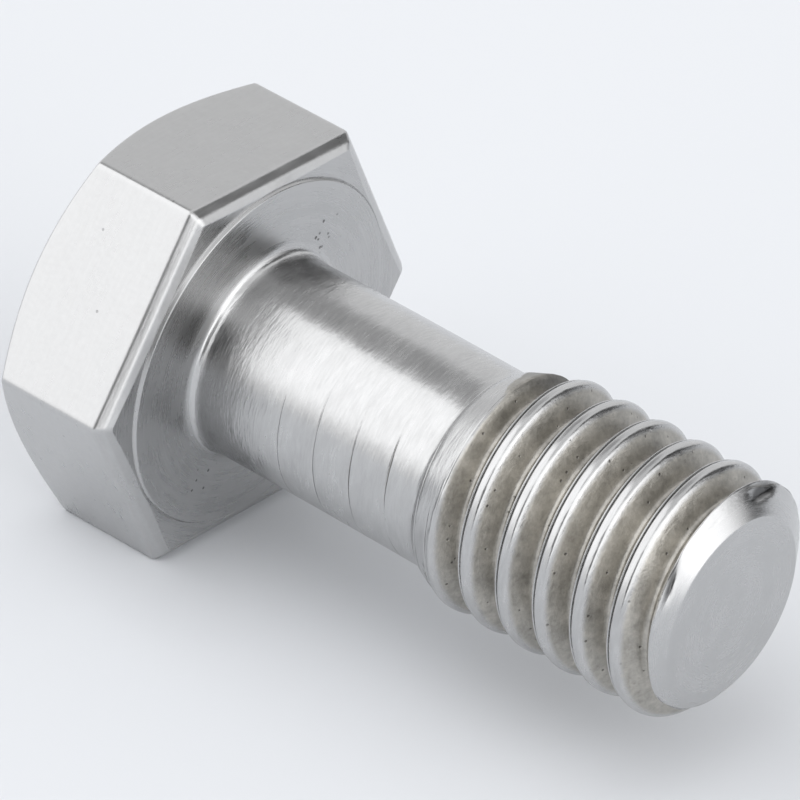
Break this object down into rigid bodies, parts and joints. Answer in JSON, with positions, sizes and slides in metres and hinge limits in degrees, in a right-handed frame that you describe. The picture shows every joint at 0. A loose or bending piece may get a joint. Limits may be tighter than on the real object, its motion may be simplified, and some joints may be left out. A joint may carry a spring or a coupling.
{
  "type": "hex bolt",
  "caption": "Hexagon head bolt with a washer face, a reduced plain shank and a short coarse thread with a chamfered end, for clamping or as a captive fastener.",
  "frame": {"origin": "middle of the head's flat top", "axes": "+X along the bolt from the head to the thread's end; +Z is square to one of the six wrench flats, so two flats face up and down; +Y points at a corner of the hexagon"},
  "size_m": [0.0232, 0.0144, 0.0126],
  "materials": {
    "bright_steel": "bright turned steel with fine tool marks, duller in the thread's grooves"
  },
  "bodies": {
    "root": {"hex_bolt": "bright_steel"}
  },
  "joints": []
}
